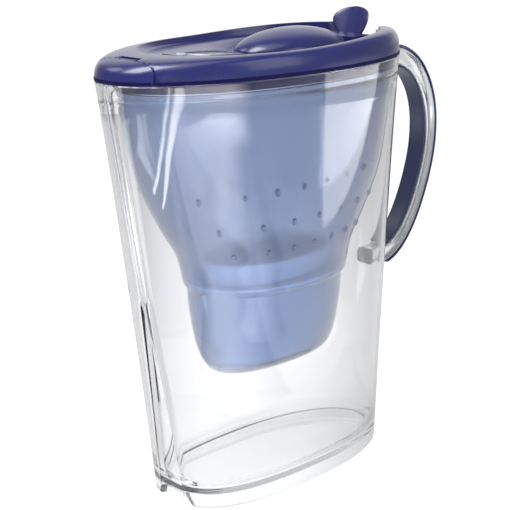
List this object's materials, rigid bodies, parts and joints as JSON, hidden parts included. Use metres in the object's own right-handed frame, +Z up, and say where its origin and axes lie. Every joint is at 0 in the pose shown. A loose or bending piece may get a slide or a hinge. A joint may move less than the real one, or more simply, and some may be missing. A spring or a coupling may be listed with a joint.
{
  "type": "water filter jug",
  "caption": "Tall oval clear jug with a loop handle, a tinted hanging filter funnel with cartridge, and a lid with filling flap, pouring visor and filter timer.",
  "frame": {"origin": "on the plane the foot stands on, below the jug's middle, where the front and rear reaches are measured from", "axes": "+X from the spout towards the handle, +Y across to the jug's left seen from the handle, +Z up"},
  "size_m": [0.2701, 0.105, 0.2713],
  "materials": {
    "clear_plastic": "polished clear injection-moulded SAN",
    "blue_plastic": "glossy moulded, slightly translucent",
    "tinted_plastic": "polished, tinted blue, see-through",
    "white_plastic": "smooth moulded polypropylene",
    "grey_plastic": "smooth moulded",
    "carbon_mix": "loose granules of carbon and resin",
    "screen_mesh": "woven nylon screen",
    "circuit_board": "solder-masked laminate",
    "steel_cell": "nickel-plated steel can",
    "lcd_glass": "smooth reflective display"
  },
  "bodies": {
    "jug_body": {"jug": "clear_plastic", "handle_frame": "clear_plastic", "handle_grip": "blue_plastic", "handle_spine": "blue_plastic"},
    "funnel_body": {"funnel": "tinted_plastic"},
    "cartridge": {"cartridge_body": "white_plastic", "cartridge_cap": "white_plastic", "cartridge_mesh": "screen_mesh", "cartridge_filling": "carbon_mix", "cartridge_strainer": "white_plastic"},
    "lid": {"lid_shell": "blue_plastic", "lid_liner": "grey_plastic", "timer_case": "blue_plastic", "timer_board": "circuit_board", "timer_cell": "steel_cell", "timer_display": "lcd_glass", "timer_window": "clear_plastic"},
    "flap": {"filling_flap": "blue_plastic", "flap_plate": "blue_plastic"},
    "visor": {"pour_visor": "blue_plastic"},
    "button": {"timer_button": "white_plastic"}
  },
  "joints": [
    {"name": "funnel_lift", "type": "slide", "parent": "jug_body", "child": "funnel_body", "axis": [0, 0, 1], "range_m": [0, 0.18]},
    {"name": "cartridge_lift", "type": "slide", "parent": "funnel_body", "child": "cartridge", "axis": [0, 0, 1], "range_m": [0, 0.07]},
    {"name": "lid_lift", "type": "slide", "parent": "funnel_body", "child": "lid", "axis": [0, 0, 1], "range_m": [0, 0.08]},
    {"name": "flap_hinge", "type": "hinge", "parent": "lid", "child": "flap", "pos_m": [0.074, 0, 0.2515], "axis": [0, 1, 0], "range_deg": [0, 48]},
    {"name": "visor_hinge", "type": "hinge", "parent": "lid", "child": "visor", "pos_m": [-0.0971, 0, 0.2559], "axis": [0, 1, 0], "range_deg": [0, 32]},
    {"name": "timer_press", "type": "slide", "parent": "lid", "child": "button", "axis": [-0.0523, 0, -0.9986], "range_m": [0, 0.0007], "stiffness_N_per_m": 300}
  ]
}
